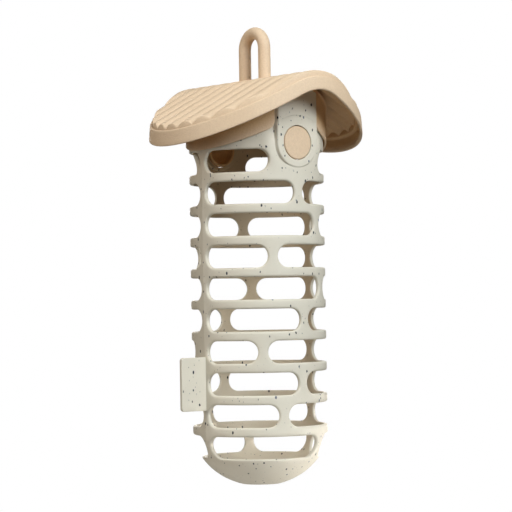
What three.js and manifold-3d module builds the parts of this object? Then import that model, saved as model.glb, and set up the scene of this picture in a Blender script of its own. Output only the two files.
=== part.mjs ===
// Hanging fat ball feeder: a slotted cage, a ribbed gable roof that lifts off, and two push latches
// that lock it. Millimetres, +Z up. Heights are counted from the underside of the cage, and the whole
// group is then lowered so that the origin is the point under the hanging loop's arch, where a hook
// carries the feeder. The ridge of the roof runs along Y, the eaves face +X and -X, and the latches
// face -Y (front) and +Y (back).
import * as THREE from 'three';
import { mergeVertices } from 'three/addons/utils/BufferGeometryUtils.js';
import Module from 'manifold-3d';

const wasm = await Module();
wasm.setup();

// Cage
const cageRadius = 43;
const cageWall = 2.5;
const domeHeight = 34.8;
const baseFlatRadius = 12.4;

// Slots of the cage, in rows counted from the top; angles are degrees from the front, towards +X
const slotHeight = 14.1;
const rowPitch = 19.9;
const lowestSlotTop = 31.8;
const postWidth = 6.4;
const seamPostWidth = 6;
const postAngles = [0.7, 24, -24, 31, 5.5, -33.6, 3, -16, 26];
const topSlotStart = 27;
const tabRow = 7;
const tabRowBackStart = 108;

// Ears that carry the latch holes
const earWidth = 32.4;
const earProud = 0.2;
const bossProud = 0.7;
const buttonRise = 3.9;
const earTopOffset = 4.3;

// Tag fin on the mould seam
const finReach = 18.9;
const finThickness = 2.4;
const finBottom = 48;
const finHeight = 33.5;
const finCornerRadius = 2;

// Roof: every surface is a parallel offset of the curve that the rim's lower edge follows
const roofRadius = 68.4;
const roofSlope = 0.53;
const roofRise = 34.6;
const ridgeRadius = 26.5;
const rimDepth = 8.5;
const rimWall = 2;
const rimLipWidth = 2.2;
const rimEdgeBevel = 1.2;
const ribPitch = 12.6;
const ribHeight = 3.3;
const valleyRise = 0.6;
const shellThickness = 1.8;
const ribEndWall = 2.2;

// Collar under the roof: a gabled deck with a skirt that laps over the cage
const skirtWall = 1.5;
const deckThickness = 2.2;
const skirtDrop = 17.7;
const skirtEdgeSlope = 0.45;
const rimLap = 4;

// Push latches: a spring tongue with a round button on it
const buttonRadius = 10.4;
const tongueWidth = 20;
const tongueThickness = 2.2;
const buttonRecess = 0.2;

// Hanging loop and the screws that hold it
const loopBar = 7.9;
const loopLegSpacing = 20.6;
const loopRise = 33.5;
const spigotDiameter = 5.4;
const seatDepth = 3.6;
const screwDiameter = 3;
const screwLength = 14;
const pilotSpare = 1;
const screwHeadDiameter = 6.4;
const screwHeadHeight = 2.2;
const bossWall = 3;
const deckPadDepth = 1.4;

// Clearances
const fitGap = 0.4;
const seatGap = 0.3;
const buttonGap = 0.4;

// Facets
const cageSegments = 40;
const roofSegments = 72;
const barSegments = 14;
const loopSteps = 22;
const slotEndSteps = 3;
const ridgeSteps = 6;
const domeSteps = 8;
const cornerSteps = 4;
const slotBayAngle = 12;
const ribPhases = [-0.34, -0.12, 0.12, 0.34, 0.5];
const leastRibStep = 1;
const mergeTolerance = 1e-4;
const cutSpan = 200;
const cutMargin = 8;

const cageInner = cageRadius - cageWall;
const earFace = cageRadius + earProud;
const slotRows = postAngles.length + 1;
const topSlotTop = lowestSlotTop + (slotRows - 1) * rowPitch;
const buttonHeight = topSlotTop + buttonRise;
const rimApex = buttonHeight + roofRise;
const skirtEdgeApex = rimApex - skirtDrop;
const slopeAngle = Math.atan(roofSlope);
const ridgeDrop = ridgeRadius * (1 / Math.cos(slopeAngle) - 1);
const deckTop = rimDepth + valleyRise - shellThickness - seatGap;
const deckBottom = deckTop - deckThickness;
const skirtInner = cageRadius + fitGap;
const collarRadius = skirtInner + skirtWall;
const ridgeTop = rimApex - ridgeDrop;
const crestTop = ridgeTop + rimDepth + valleyRise + ribHeight;
const loopTop = crestTop + loopRise;
const loopLegY = loopLegSpacing / 2;
const archHeight = loopTop - loopBar / 2 - loopLegY;
const hookHeight = loopTop - loopBar;
const tongueOuterY = Math.sqrt(cageInner ** 2 - (tongueWidth / 2) ** 2) - fitGap;
const plateauRadius = roofRadius - rimLipWidth;
const seatHeight = crestTop - seatDepth;
const spigotBottom = ridgeTop + deckTop + seatGap;
const padHeight = ridgeTop + deckBottom - deckPadDepth;
const buttonFace = earFace + bossProud - buttonRecess;

const radians = THREE.MathUtils.degToRad;
const degrees = THREE.MathUtils.radToDeg;
const halfTurn = 180;

// Height of the gable at x, for the surface that lies offset above the rim's lower edge
function gable(x, offset) {
  const radius = ridgeRadius + offset;
  const apex = rimApex + offset / Math.cos(slopeAngle);
  const tangentX = radius * Math.sin(slopeAngle);
  if (Math.abs(x) >= tangentX) return apex - roofSlope * Math.abs(x);
  const centre = apex - radius / Math.cos(slopeAngle);
  return centre + Math.sqrt(radius ** 2 - x ** 2);
}

// Rib profile across the ridge: broad round crests with narrow valleys, 0 to 1
function rib(y) {
  const phase = y / ribPitch - Math.round(y / ribPitch);
  return Math.cos(Math.PI * phase);
}

function toSolid(geometry) {
  const bare = geometry.clone();
  for (const name of Object.keys(bare.attributes)) {
    if (name !== 'position') bare.deleteAttribute(name);
  }
  const merged = mergeVertices(bare, mergeTolerance);
  const source = merged.index.array;
  const triVerts = [];
  for (let i = 0; i < source.length; i += 3) {
    const [a, b, c] = source.slice(i, i + 3);
    if (a !== b && b !== c && c !== a) triVerts.push(a, b, c);
  }
  const vertProperties = new Float32Array(merged.attributes.position.array);
  const mesh = new wasm.Mesh({ numProp: 3, vertProperties, triVerts: new Uint32Array(triVerts) });
  return new wasm.Manifold(mesh);
}

function toGeometry(solid) {
  const mesh = solid.getMesh();
  const geometry = new THREE.BufferGeometry();
  geometry.setAttribute('position', new THREE.BufferAttribute(new Float32Array(mesh.vertProperties), 3));
  geometry.setIndex(new THREE.BufferAttribute(new Uint32Array(mesh.triVerts), 1));
  geometry.computeVertexNormals();
  return geometry;
}

function fromTriangles(points, triangles) {
  const geometry = new THREE.BufferGeometry();
  geometry.setAttribute('position', new THREE.Float32BufferAttribute(points.flat(), 3));
  geometry.setIndex(triangles.flat());
  return geometry;
}

// Closed loft through rings of points that all have the same count, with the ends capped or joined up
function loft(rings, joined) {
  const count = rings[0].length;
  const triangles = [];
  const last = joined ? rings.length : rings.length - 1;
  for (let i = 0; i < last; i++) {
    const here = i * count;
    const next = ((i + 1) % rings.length) * count;
    for (let j = 0; j < count; j++) {
      const k = (j + 1) % count;
      triangles.push([here + j, here + k, next + k], [here + j, next + k, next + j]);
    }
  }
  if (!joined) {
    const end = (rings.length - 1) * count;
    for (let j = 1; j < count - 1; j++) {
      triangles.push([0, j + 1, j], [end, end + j, end + j + 1]);
    }
  }
  return toSolid(fromTriangles(rings.flat(), triangles));
}

// Block over a grid of x and y stations, between two height functions
function block(xs, ys, top, bottom) {
  const points = [];
  for (const height of [bottom, top]) {
    for (const x of xs) {
      for (const y of ys) points.push([x, y, height(x, y)]);
    }
  }
  const nx = xs.length;
  const ny = ys.length;
  const at = (level, i, j) => (level * nx + i) * ny + j;
  const triangles = [];
  const quad = (a, b, c, d) => triangles.push([a, b, c], [a, c, d]);
  for (let i = 0; i < nx - 1; i++) {
    for (let j = 0; j < ny - 1; j++) {
      quad(at(1, i, j), at(1, i + 1, j), at(1, i + 1, j + 1), at(1, i, j + 1));
      quad(at(0, i, j), at(0, i, j + 1), at(0, i + 1, j + 1), at(0, i + 1, j));
    }
  }
  for (let i = 0; i < nx - 1; i++) {
    quad(at(0, i, 0), at(0, i + 1, 0), at(1, i + 1, 0), at(1, i, 0));
    quad(at(0, i + 1, ny - 1), at(0, i, ny - 1), at(1, i, ny - 1), at(1, i + 1, ny - 1));
  }
  for (let j = 0; j < ny - 1; j++) {
    quad(at(0, 0, j + 1), at(0, 0, j), at(1, 0, j), at(1, 0, j + 1));
    quad(at(0, nx - 1, j), at(0, nx - 1, j + 1), at(1, nx - 1, j + 1), at(1, nx - 1, j));
  }
  return toSolid(fromTriangles(points, triangles));
}

function stations(low, high, count) {
  return Array.from({ length: count + 1 }, (_, i) => low + ((high - low) * i) / count);
}

// X stations that follow the rounded ridge and then run straight down both slopes
function gableStations(reach, offset) {
  const tangentX = (ridgeRadius + offset) * Math.sin(slopeAngle);
  return [-reach, ...stations(-tangentX, tangentX, ridgeSteps), reach];
}

function aboveGable(offset) {
  const xs = gableStations(cutSpan, offset);
  return block(xs, [-cutSpan, cutSpan], () => rimApex + cutSpan, (x) => gable(x, offset));
}

function aboveRidge(apex, slope) {
  const edge = (x) => apex - slope * Math.abs(x);
  return block([-cutSpan, 0, cutSpan], [-cutSpan, cutSpan], () => apex + cutSpan, edge);
}

function belowRidge(apex, slope) {
  const edge = (x) => apex - slope * Math.abs(x);
  return block([-cutSpan, 0, cutSpan], [-cutSpan, cutSpan], edge, () => -cutSpan);
}

function post(radius, bottom, top, segments, x = 0, y = 0) {
  const geometry = new THREE.CylinderGeometry(radius, radius, top - bottom, segments);
  geometry.rotateX(Math.PI / 2);
  geometry.translate(x, y, (bottom + top) / 2);
  return toSolid(geometry);
}

// Round bar along Y, at height z
function crossBar(radius, yLow, yHigh, z, segments) {
  const geometry = new THREE.CylinderGeometry(radius, radius, yHigh - yLow, segments);
  geometry.translate(0, (yLow + yHigh) / 2, z);
  return toSolid(geometry);
}

function box(low, high) {
  const size = high.map((value, i) => value - low[i]);
  const geometry = new THREE.BoxGeometry(...size);
  geometry.translate(...high.map((value, i) => (value + low[i]) / 2));
  return toSolid(geometry);
}

function turned(profile) {
  const points = profile.map(([r, z]) => new THREE.Vector2(r, z));
  const geometry = new THREE.LatheGeometry(points, cageSegments);
  geometry.rotateX(Math.PI / 2);
  return toSolid(geometry);
}

// Domed pot profile from the axis at the bottom to the axis at the top
function potProfile(radius, poleHeight, flatRadius, top) {
  const rise = domeHeight - poleHeight;
  const start = Math.acos(flatRadius / radius);
  const arc = stations(start, 0, domeSteps).map((t) => {
    return [radius * Math.cos(t), domeHeight - (rise * Math.sin(t)) / Math.sin(start)];
  });
  return [[0, poleHeight], ...arc, [radius, top], [0, top]];
}

// Cutter for one slot: a band between two radii with half-round ends, from angle a to angle b
function slotCutter(a, b, slotTop) {
  const innerReach = cageInner - cutMargin;
  const outerReach = cageRadius + cutMargin;
  const half = slotHeight / 2;
  const middle = slotTop - half;
  const endSpan = degrees(half / cageRadius);
  const ends = stations(0, halfTurn / 2, slotEndSteps);
  const columns = ends.map((t) => [a + endSpan * (1 - Math.cos(radians(t))), half * Math.sin(radians(t))]);
  const bays = Math.max(1, Math.round((b - a - 2 * endSpan) / slotBayAngle));
  for (const angle of stations(a + endSpan, b - endSpan, bays).slice(1, -1)) columns.push([angle, half]);
  for (const t of ends.toReversed()) {
    columns.push([b - endSpan * (1 - Math.cos(radians(t))), half * Math.sin(radians(t))]);
  }
  const rings = columns.map(([angle, reach]) => {
    const s = Math.sin(radians(angle));
    const c = -Math.cos(radians(angle));
    const at = (r, z) => [r * s, r * c, z];
    return [
      at(innerReach, middle - reach),
      at(innerReach, middle + reach),
      at(outerReach, middle + reach),
      at(outerReach, middle - reach),
    ];
  });
  return loft(rings, false);
}

// Slots of one row as [from, to] angles on the front half
function frontSlots(row) {
  const seam = halfTurn / 2 - degrees(seamPostWidth / 2 / cageRadius);
  if (row === 1) return [[-seam, -topSlotStart], [topSlotStart, seam]];
  const post = postAngles[row - 2];
  const half = degrees(postWidth / 2 / cageRadius);
  return [[-seam, post - half], [post + half, seam]];
}

// Slots of one row on the back half, mirrored from the front; beside the fin the slot stops short
function backSlots(row) {
  const [left, right] = frontSlots(row);
  const leftEnd = row === tabRow ? 2 * halfTurn - tabRowBackStart : halfTurn - left[0];
  return [[halfTurn - left[1], leftEnd], [halfTurn - right[1], halfTurn - right[0]]];
}

function makeCage() {
  const fullTop = rimApex + rimDepth;
  const outer = turned(potProfile(cageRadius, 0, baseFlatRadius, fullTop));
  const inner = turned(potProfile(cageInner, cageWall, baseFlatRadius, fullTop + cutMargin));
  let cage = outer.subtract(aboveRidge(skirtEdgeApex + rimLap, skirtEdgeSlope));
  const half = earWidth / 2;
  const earTop = aboveGable(earTopOffset);
  for (const side of [-1, 1]) {
    const span = (face) => [Math.min(side * face, 0), Math.max(side * face, 0)];
    const [low, high] = span(earFace);
    const column = box([-half, low, buttonHeight], [half, high, fullTop]);
    const boss = crossBar(half, ...span(earFace + bossProud), buttonHeight, cageSegments);
    cage = cage.add(column.add(boss).subtract(earTop));
  }
  cage = cage.add(makeFin()).subtract(inner);
  const hole = crossBar(buttonRadius + buttonGap, -cutSpan, cutSpan, buttonHeight, cageSegments / 2);
  cage = cage.subtract(hole);
  for (let row = 1; row <= slotRows; row++) {
    const slotTop = topSlotTop - (row - 1) * rowPitch;
    for (const [a, b] of [...frontSlots(row), ...backSlots(row)]) {
      cage = cage.subtract(slotCutter(a, b, slotTop));
    }
  }
  return cage;
}

function makeFin() {
  const root = -(cageInner + cageWall / 2);
  const tip = -(cageRadius + finReach);
  const top = finBottom + finHeight;
  const r = finCornerRadius;
  const outline = new THREE.Shape();
  outline.moveTo(root, finBottom);
  outline.lineTo(root, top);
  outline.lineTo(tip + r, top);
  outline.absarc(tip + r, top - r, r, Math.PI / 2, Math.PI, false);
  outline.lineTo(tip, finBottom + r);
  outline.absarc(tip + r, finBottom + r, r, Math.PI, 1.5 * Math.PI, false);
  const options = { depth: finThickness, bevelEnabled: false, curveSegments: cornerSteps };
  const geometry = new THREE.ExtrudeGeometry(outline, options);
  geometry.rotateX(Math.PI / 2);
  geometry.translate(0, finThickness / 2, 0);
  return toSolid(geometry);
}

// Y stations that follow the ribs: crest, flanks and valley of each
function ribStations(reach) {
  const ys = [-reach, reach];
  const count = Math.ceil(reach / ribPitch);
  for (let k = -count; k <= count; k++) {
    for (const phase of ribPhases) {
      const y = (k + phase) * ribPitch;
      if (Math.abs(y) < reach - leastRibStep) ys.push(y);
    }
  }
  return ys.sort((a, b) => a - b);
}

// Rim ring round the roof: outer wall, lip, and a ledge that carries the ribbed shell
function makeRim() {
  const ledge = rimDepth - shellThickness;
  const lipInner = plateauRadius - ribEndWall - seatGap;
  const section = [
    [roofRadius - rimWall, 0],
    [roofRadius - rimWall, ledge],
    [lipInner, ledge],
    [lipInner, rimDepth],
    [roofRadius - rimEdgeBevel, rimDepth],
    [roofRadius, rimDepth - rimEdgeBevel],
    [roofRadius, 0],
  ];
  const rings = stations(0, 2 * Math.PI, roofSegments).slice(0, -1).map((angle) => {
    return section.map(([r, offset]) => {
      const x = r * Math.sin(angle);
      return [x, -r * Math.cos(angle), gable(x, offset)];
    });
  });
  return loft(rings, true);
}

function makeRoof() {
  const reach = roofRadius;
  const xs = gableStations(reach, rimDepth);
  const ys = ribStations(reach);
  const top = (x, y) => gable(x, rimDepth + valleyRise + ribHeight * rib(y));
  const underside = (x, y) => gable(x, rimDepth + valleyRise + ribHeight * rib(y) - shellThickness);
  const ledgeMiddle = (x) => gable(x, rimDepth - shellThickness / 2);
  const high = rimApex + cutSpan;
  const plateau = block(xs, ys, top, ledgeMiddle).intersect(post(plateauRadius, 0, high, roofSegments));
  let hollow = block(xs, ys, underside, () => 0);
  hollow = hollow.intersect(post(plateauRadius - ribEndWall, 0, high, roofSegments));
  for (const y of [-loopLegY, loopLegY]) {
    hollow = hollow.subtract(post(loopBar / 2 + bossWall, spigotBottom, high, barSegments, 0, y));
  }
  let roof = plateau.add(makeRim()).subtract(hollow);
  for (const y of [-loopLegY, loopLegY]) {
    roof = roof.subtract(post(loopBar / 2 + seatGap, seatHeight, high, barSegments, 0, y));
    roof = roof.subtract(post(spigotDiameter / 2 + seatGap, 0, high, barSegments, 0, y));
  }
  return roof;
}

function makeCollar() {
  const high = rimApex + cutSpan;
  const padTop = ridgeTop + deckBottom + deckThickness / 2;
  const overDeck = aboveGable(deckBottom);
  const half = earWidth / 2 + fitGap;
  const notch = box([-half, -cutSpan, 0], [half, cutSpan, high]).subtract(overDeck);
  const inside = post(skirtInner, 0, high, cageSegments).subtract(overDeck);
  let collar = post(collarRadius, 0, high, cageSegments).subtract(aboveGable(deckTop));
  collar = collar.subtract(belowRidge(skirtEdgeApex, skirtEdgeSlope)).subtract(inside).subtract(notch);
  for (const y of [-loopLegY, loopLegY]) {
    const pad = post(screwHeadDiameter / 2 + bossWall, padHeight, padTop, barSegments, 0, y);
    const hole = post(screwDiameter / 2 + seatGap, 0, high, barSegments, 0, y);
    collar = collar.add(pad).subtract(hole);
  }
  return collar;
}

// Front latch: a tongue that hangs from the deck inside the cage, with the button that locks into the ear
function makeLatch() {
  const half = tongueWidth / 2;
  const outline = new THREE.Shape();
  outline.moveTo(half, rimApex + rimDepth);
  outline.lineTo(-half, rimApex + rimDepth);
  outline.lineTo(-half, buttonHeight);
  outline.absarc(0, buttonHeight, half, Math.PI, 2 * Math.PI, false);
  const options = { depth: tongueThickness, bevelEnabled: false, curveSegments: cageSegments / 4 };
  const geometry = new THREE.ExtrudeGeometry(outline, options);
  geometry.rotateX(Math.PI / 2);
  geometry.translate(0, tongueThickness - tongueOuterY, 0);
  const tongue = toSolid(geometry).subtract(aboveGable(deckBottom - seatGap));
  const root = tongueThickness / 2 - tongueOuterY;
  return tongue.add(crossBar(buttonRadius, -buttonFace, root, buttonHeight, cageSegments / 2));
}

// Route of the loop's bar: up one leg, round the arch and down the other leg
class LoopRoute extends THREE.Curve {
  getPoint(t, target = new THREE.Vector3()) {
    const leg = archHeight - seatHeight;
    const arch = Math.PI * loopLegY;
    const along = t * (2 * leg + arch);
    if (along <= leg) return target.set(0, -loopLegY, seatHeight + along);
    if (along >= leg + arch) return target.set(0, loopLegY, seatHeight + 2 * leg + arch - along);
    const angle = (along - leg) / loopLegY;
    return target.set(0, -loopLegY * Math.cos(angle), archHeight + loopLegY * Math.sin(angle));
  }
}

function makeLoop() {
  const section = new THREE.Shape().absarc(0, 0, loopBar / 2, 0, 2 * Math.PI, false);
  const options = { steps: loopSteps, curveSegments: barSegments / 2, extrudePath: new LoopRoute() };
  let loop = toSolid(new THREE.ExtrudeGeometry(section, options));
  for (const y of [-loopLegY, loopLegY]) {
    loop = loop.add(post(spigotDiameter / 2, spigotBottom, seatHeight + seatDepth, barSegments, 0, y));
    const pilotTop = padHeight + screwLength + pilotSpare;
    loop = loop.subtract(post(screwDiameter / 2 + seatGap, 0, pilotTop, barSegments, 0, y));
  }
  return loop;
}

function makeScrew(y) {
  const shankBottom = padHeight - screwHeadHeight / 2;
  const shank = post(screwDiameter / 2, shankBottom, padHeight + screwLength, barSegments, 0, y);
  const head = post(screwHeadDiameter / 2, padHeight - screwHeadHeight, padHeight, barSegments, 0, y);
  return shank.add(head);
}

function turnedRound(solid) {
  return toGeometry(solid).rotateZ(Math.PI);
}

const cream = { color: 0xddd9cc, roughness: 0.8, metalness: 0 };
const tan = { color: 0xdec6a3, roughness: 0.75, metalness: 0 };
const steel = { color: 0xb9bcc0, roughness: 0.35, metalness: 1 };

const latch = makeLatch();
const pieces = [
  ['cage_body', toGeometry(makeCage()), cream],
  ['roof_shell', toGeometry(makeRoof()), tan],
  ['lid_collar', toGeometry(makeCollar()), tan],
  ['hanging_loop', toGeometry(makeLoop()), tan],
  ['front_push_latch', toGeometry(latch), tan],
  ['back_push_latch', turnedRound(latch), tan],
  ['front_loop_screw', toGeometry(makeScrew(-loopLegY)), steel],
  ['back_loop_screw', toGeometry(makeScrew(loopLegY)), steel],
];

const feeder = new THREE.Group();
for (const [name, geometry, finish] of pieces) {
  const mesh = new THREE.Mesh(geometry, new THREE.MeshStandardMaterial(finish));
  mesh.name = name;
  feeder.add(mesh);
}
feeder.position.z = -hookHeight;

export default feeder;
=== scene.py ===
# Hanging fat ball feeder: a cream slotted cage under a sand-coloured ribbed roof with a hanging loop
from math import acos, asin, atan, atan2, cos, degrees, hypot, pi, radians, sin, sqrt

import bmesh
import bpy
from mathutils import Matrix, Vector
from mathutils.geometry import delaunay_2d_cdt
from mathutils.kdtree import KDTree


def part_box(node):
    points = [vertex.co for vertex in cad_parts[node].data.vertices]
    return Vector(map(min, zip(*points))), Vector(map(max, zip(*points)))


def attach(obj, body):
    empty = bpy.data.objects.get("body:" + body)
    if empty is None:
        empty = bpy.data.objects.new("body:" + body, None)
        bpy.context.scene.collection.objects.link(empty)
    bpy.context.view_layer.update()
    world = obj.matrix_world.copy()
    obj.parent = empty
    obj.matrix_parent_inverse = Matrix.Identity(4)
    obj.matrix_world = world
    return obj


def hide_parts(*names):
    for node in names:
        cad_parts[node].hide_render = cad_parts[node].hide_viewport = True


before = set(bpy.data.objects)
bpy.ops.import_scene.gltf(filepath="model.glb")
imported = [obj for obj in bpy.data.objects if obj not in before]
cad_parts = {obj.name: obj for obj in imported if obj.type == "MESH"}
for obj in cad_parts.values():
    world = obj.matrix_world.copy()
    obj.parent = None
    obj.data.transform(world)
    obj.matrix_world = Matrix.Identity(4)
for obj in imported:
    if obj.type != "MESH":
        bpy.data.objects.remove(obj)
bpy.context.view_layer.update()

scene = bpy.context.scene
mm = 0.001
mergeGap = 0.004                       # points nearer than this become one, in millimetres
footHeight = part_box("cage_body")[0].z  # all heights below are millimetres above the cage's underside
buttonHeight = 214.8                   # middle of both push buttons
print("frame loaded:", len(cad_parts), "nodes")


def clamp(value, low=0.0, high=1.0):
    return min(max(value, low), high)


def ease(t):
    t = clamp(t)
    return t * t * (3 - 2 * t)


def mix(a, b, share):
    return a + (b - a) * share


def between(low, high, count):
    return [low + (high - low) * i / count for i in range(count + 1)]


def quarterTurn(count):
    return between(0, pi / 2, count)


# Steps of a quarter round from one face to the next: distance left to go, and depth gained
def rounding(size, count):
    return [(size * (1 - sin(t)), size * (1 - cos(t))) for t in quarterTurn(count)]


def circle(radius, count, x=0.0, y=0.0):
    return [(x + radius * cos(t), y + radius * sin(t)) for t in between(0, 2 * pi, count)[:-1]]


def centroid(points, triangle):
    return [sum(points[i][axis] for i in triangle) / 3 for axis in (0, 1)]


# Flat layout of one surface: outlines that must show as edges, and loose points that fill the rest
class Sheet:
    def __init__(self):
        self.points = []
        self.edges = []

    def line(self, points, closed=False):
        start, count = len(self.points), len(points)
        self.points.extend(points)
        for i in range(count if closed else count - 1):
            self.edges.append((start + i, start + (i + 1) % count))
        return list(range(start, start + count))

    def fill(self, points, clearance):
        tree = KDTree(len(self.points))
        for i, (u, v) in enumerate(self.points):
            tree.insert((u, v, 0), i)
        tree.balance()
        self.points.extend((u, v) for u, v in points if tree.find((u, v, 0))[2] > clearance)

    # the layout's final points, the triangles inside its outline, and where each given point ended up
    def triangulate(self):
        insideOnly, tolerance = 1, 1e-5
        flat = [Vector(point) for point in self.points]
        made = delaunay_2d_cdt(flat, self.edges, [], insideOnly, tolerance)
        home = {source: index for index, sources in enumerate(made[3]) for source in sources}
        return [tuple(point) for point in made[0]], made[2], home


# Points and faces of one piece in millimetres; notes hold named values of single points
class Mould:
    def __init__(self):
        self.points = []
        self.faces = []
        self.notes = {"ribRise": {}, "paintedShade": {}}
        self.paintedShade = 0.0      # share of painted shade, noted for each point added

    def add(self, points, rises=()):
        indices = list(range(len(self.points), len(self.points) + len(points)))
        self.points.extend(points)
        # every point carries its share of painted shade
        self.notes["ribRise"].update(zip(indices, rises))
        self.notes["paintedShade"].update((index, self.paintedShade) for index in indices)
        return indices

    def strip(self, near, far, closed=True):
        count = len(near)
        for i in range(count if closed else count - 1):
            corners = (near[i], near[(i + 1) % count], far[(i + 1) % count], far[i])
            if None not in corners:
                self.faces.append(corners)

    def skin(self, rings, closed=True):
        for near, far in zip(rings, rings[1:]):
            self.strip(near, far, closed)

    def fan(self, ring, middle):
        centre = self.add([middle])[0]
        for i, point in enumerate(ring):
            self.faces.append((point, ring[(i + 1) % len(ring)], centre))

    def piece(self, name, sharpAngle):
        mesh = bpy.data.meshes.new(name)
        points = [(x * mm, y * mm, z * mm + footHeight) for x, y, z in self.points]
        mesh.from_pydata(points, [], self.faces)
        for label, values in self.notes.items():
            if any(values.values()):
                note = mesh.attributes.new(label, "FLOAT", "POINT")
                note.data.foreach_set("value", [values.get(i, 0.0) for i in range(len(points))])
        return tidyMesh(newObject(name, mesh), sharpAngle)


def newObject(name, data):
    made = bpy.data.objects.new(name, data)
    scene.collection.objects.link(made)
    return made


# Merges doubles, turns the faces outwards and shades smooth, with sharp edges past the angle
def tidyMesh(piece, sharpAngle):
    work = bmesh.new()
    work.from_mesh(piece.data)
    bmesh.ops.remove_doubles(work, verts=work.verts, dist=mergeGap * mm)
    bmesh.ops.recalc_face_normals(work, faces=work.faces)
    work.to_mesh(piece.data)
    work.free()
    piece.data.shade_smooth()
    piece.data.set_sharp_from_angle(angle=radians(sharpAngle))
    return piece


def dress(piece, finish, slotName, body, *nodes):
    piece.data.materials.clear()
    piece.data.materials.append(finish)
    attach(piece, body)
    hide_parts(*nodes)
    print(piece.name, "has", len(piece.data.polygons), "faces")


# Node trees

def connect(tree, node, links):
    for socket, source in links:
        if isinstance(source, bpy.types.NodeSocket):
            tree.links.new(source, node.inputs[socket])
        else:
            node.inputs[socket].default_value = source


def addNode(tree, kind, links=(), **values):
    made = tree.nodes.new(kind)
    for label, value in values.items():
        setattr(made, label, value)
    connect(tree, made, links)
    return made


def maths(tree, operation, *terms):
    return addNode(tree, "ShaderNodeMath", list(enumerate(terms)), operation=operation).outputs[0]


def remap(tree, value, span, newSpan):
    labels = ("Value", "From Min", "From Max", "To Min", "To Max")
    return addNode(tree, "ShaderNodeMapRange", zip(labels, (value, *span, *newSpan))).outputs[0]


# Geometry Nodes tree with named inputs; gives the tree, its two ends and the inputs' identifiers
def nodeTree(name, inputs):
    tree = bpy.data.node_groups.new(name, "GeometryNodeTree")
    tree.interface.new_socket(name="Geometry", in_out="INPUT", socket_type="NodeSocketGeometry")
    names = {}
    for label, kind in inputs:
        names[label] = tree.interface.new_socket(name=label, in_out="INPUT", socket_type=kind).identifier
    tree.interface.new_socket(name="Geometry", in_out="OUTPUT", socket_type="NodeSocketGeometry")
    return tree, tree.nodes.new("NodeGroupInput"), tree.nodes.new("NodeGroupOutput"), names


# Ends a tree in Realize Instances and Set Material
def closeTree(tree, start, end, geometry):
    real = addNode(tree, "GeometryNodeRealizeInstances", [("Geometry", geometry)])
    links = [("Geometry", real.outputs[0]), ("Material", start.outputs["Finish"])]
    painted = addNode(tree, "GeometryNodeSetMaterial", links)
    tree.links.new(painted.outputs[0], end.inputs[0])


# Runs the tree on an object and gives a plain mesh object in its place
def grow(source, name, tree, names, values, sharpAngle):
    modifier = source.modifiers.new(name, "NODES")
    modifier.node_group = tree
    for label, value in values.items():
        modifier[names[label]] = value
    graph = bpy.context.evaluated_depsgraph_get()
    mesh = bpy.data.meshes.new_from_object(source.evaluated_get(graph))
    bpy.data.objects.remove(source)
    mesh.name = name
    return tidyMesh(newObject(name, mesh), sharpAngle)


# Camera, light and floor

view = {
    "bearing": -37.0,      # degrees from the front, towards +X
    "distance": 1363.0,
    "height": 116.9,
    "lens": 149.7,
    "sensor": 36.0,
    "clipEnd": 20.0,       # metres
    "roll": -0.0160,       # radians, as the next two
    "tilt": 0.02066,
    "turn": 0.001146,
}


def placeCamera():
    bearing = radians(view["bearing"])
    data = bpy.data.cameras.new("camera")
    data.lens = view["lens"]
    data.sensor_width = view["sensor"]
    data.clip_end = view["clipEnd"]
    camera = newObject("camera", data)
    far = view["distance"] * mm
    height = view["height"] * mm + footHeight
    place = Matrix.Translation((far * sin(bearing), -far * cos(bearing), height))
    aim = Matrix.Rotation(bearing, 4, "Z") @ Matrix.Rotation(pi / 2, 4, "X")
    trim = Matrix.Rotation(view["roll"], 4, "Z") @ Matrix.Rotation(view["tilt"], 4, "X")
    camera.matrix_world = place @ aim @ trim @ Matrix.Rotation(view["turn"], 4, "Y")
    scene.camera = camera


white = (1, 1, 1, 1)
studio = {
    "skyLight": 0.02,         # room light from above, and from below
    "groundLight": 0.01,
    "horizon": (-0.3, 0.5),   # slopes of a light ray between which the two blend
    "floorDrop": 1.6,         # metres from the cage's underside down to the floor
    "floorRadius": 6.0,
    "floorSides": 96,
    # bearing, rise and spread in degrees, height aimed at in millimetres,
    # then distance and size in metres, watts and tint
    "lamps": {
        "key": (6, 20, 180, 145, 1.6, 0.55, 12.6, (0.90, 0.96, 1.0)),
        "highKey": (-12, 36, 180, 145, 1.6, 0.7, 14.0, (0.90, 0.96, 1.0)),
        "top": (-70, 70, 180, 145, 1.5, 1.0, 7.0, (0.88, 0.95, 1.0)),
        "side": (-105, 15, 180, 129, 1.6, 1.0, 9.2, (1.0, 0.92, 0.82)),
        "back": (146, 12, 180, 129, 1.6, 1.0, 13.0, (1.0, 0.97, 0.93)),
        "card": (50, -45, 180, 7, 0.16, 0.10, 0.05, (1.0, 0.98, 0.96)),
        "leftCard": (-60, -50, 180, 7, 0.13, 0.08, 0.039, (1.0, 0.97, 0.92)),
        "lowRight": (48, -4, 10, 18, 0.6, 0.06, 0.0135, (1.0, 0.98, 0.95)),
    },
}


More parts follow.
